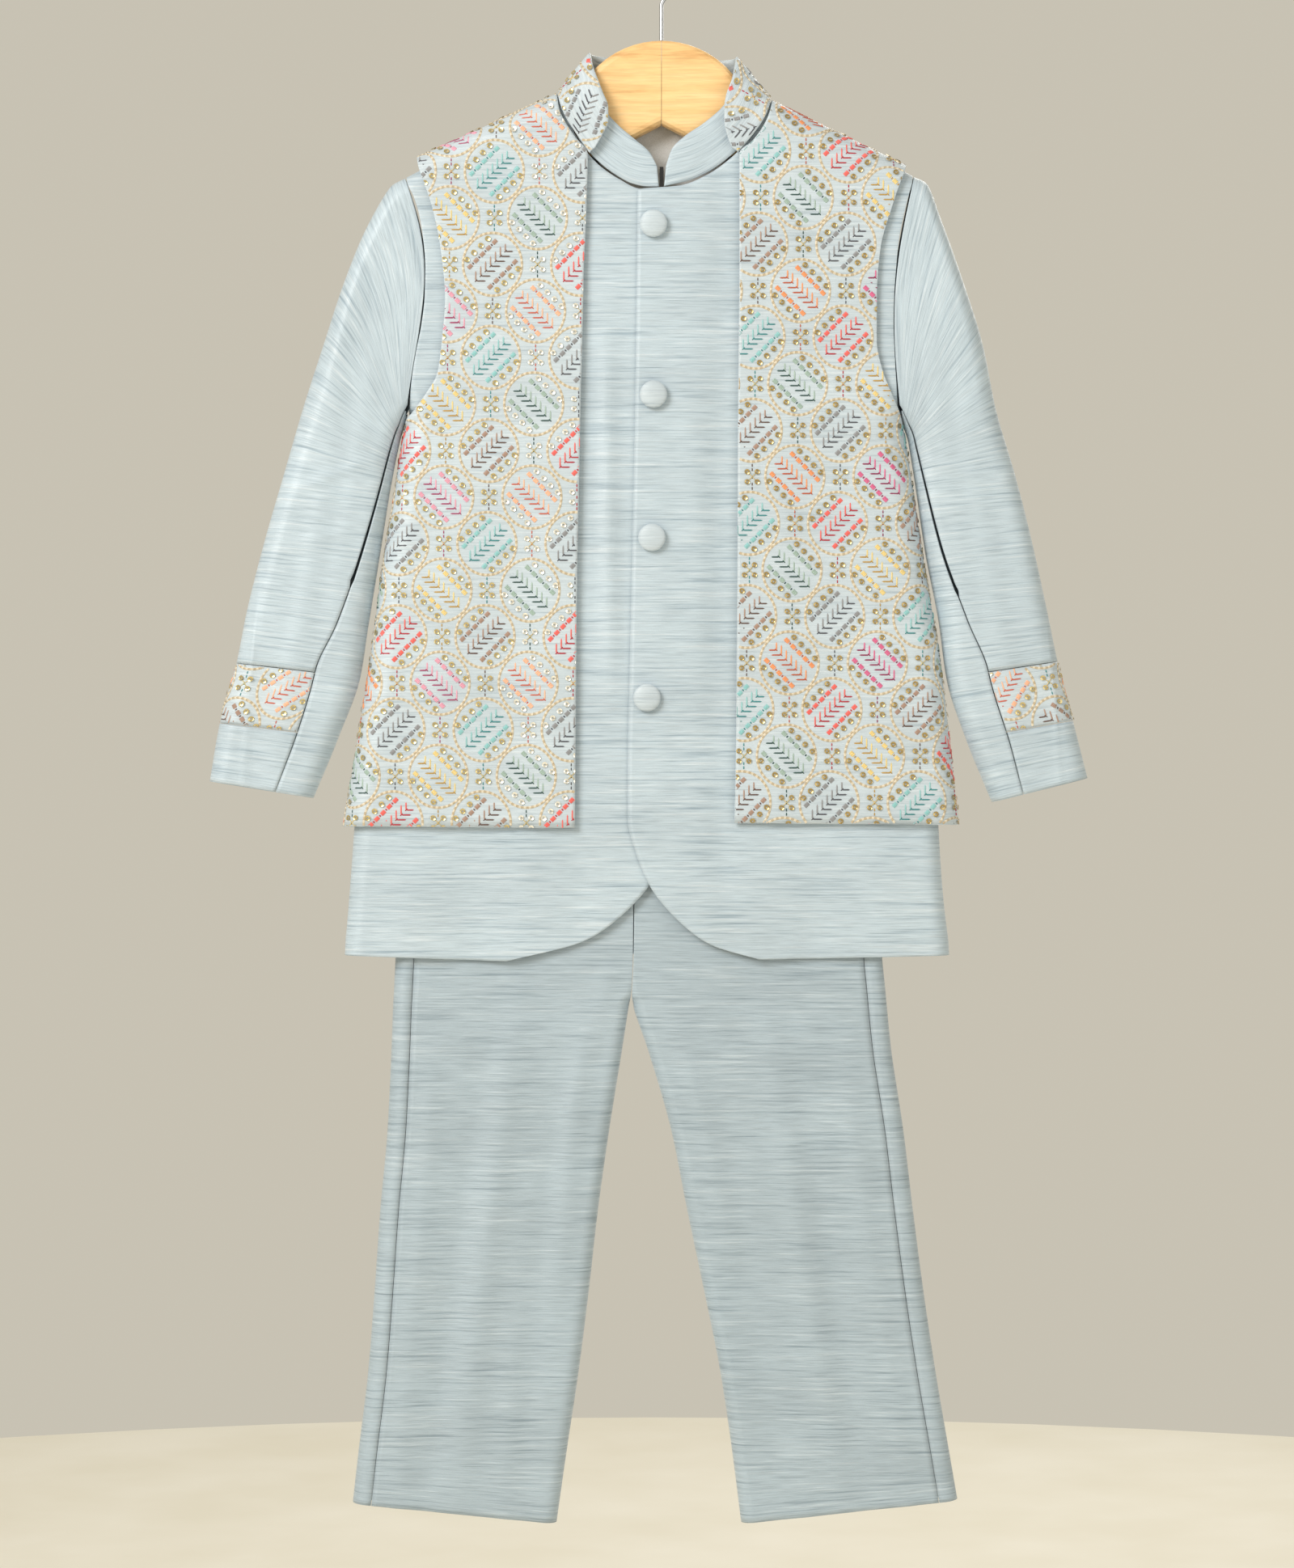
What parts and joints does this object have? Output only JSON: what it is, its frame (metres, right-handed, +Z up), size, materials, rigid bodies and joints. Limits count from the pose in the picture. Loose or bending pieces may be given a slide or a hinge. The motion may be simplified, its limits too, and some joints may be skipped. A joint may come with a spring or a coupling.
{
  "type": "kurta jacket and trousers set on hanger",
  "caption": "Child's long-sleeved kurta under an open sleeveless embroidered jacket, with straight trousers, hung on a wooden hanger with a wire hook.",
  "frame": {"origin": "point where the inside of the hook's crook rests on its rail", "axes": "+Z up, the front of the garments faces -Y, +X to the right as seen from the front"},
  "size_m": [0.546, 0.0359, 0.9936],
  "materials": {
    "slub_silk": "satin",
    "embroidered_silk": "satin",
    "trouser_silk": "satin",
    "white_lining": "matte",
    "black_enamel": "satin",
    "honey_wood": "satin",
    "bright_steel": "polished"
  },
  "bodies": {
    "root": {"button_1": "embroidered_silk", "button_2": "embroidered_silk", "button_3": "embroidered_silk", "button_4": "embroidered_silk", "collar_hook": "black_enamel", "hanger_arm_left": "honey_wood", "hanger_arm_right": "honey_wood", "hanger_hook": "bright_steel", "jacket_back": "embroidered_silk", "jacket_collar": "embroidered_silk", "jacket_front_left": "embroidered_silk", "jacket_front_right": "embroidered_silk", "kurta_back": "slub_silk", "kurta_back_lining": "white_lining", "kurta_collar": "slub_silk", "kurta_front_left": "slub_silk", "kurta_front_right": "slub_silk", "sleeve_left_band": "embroidered_silk", "sleeve_left_cuff": "slub_silk", "sleeve_left_top": "slub_silk", "sleeve_left_under": "slub_silk", "sleeve_right_band": "embroidered_silk", "sleeve_right_cuff": "slub_silk", "sleeve_right_top": "slub_silk", "sleeve_right_under": "slub_silk", "trouser_back_left": "trouser_silk", "trouser_back_right": "trouser_silk", "trouser_front_left": "trouser_silk", "trouser_front_right": "trouser_silk", "trouser_waistband": "trouser_silk"}
  },
  "joints": []
}
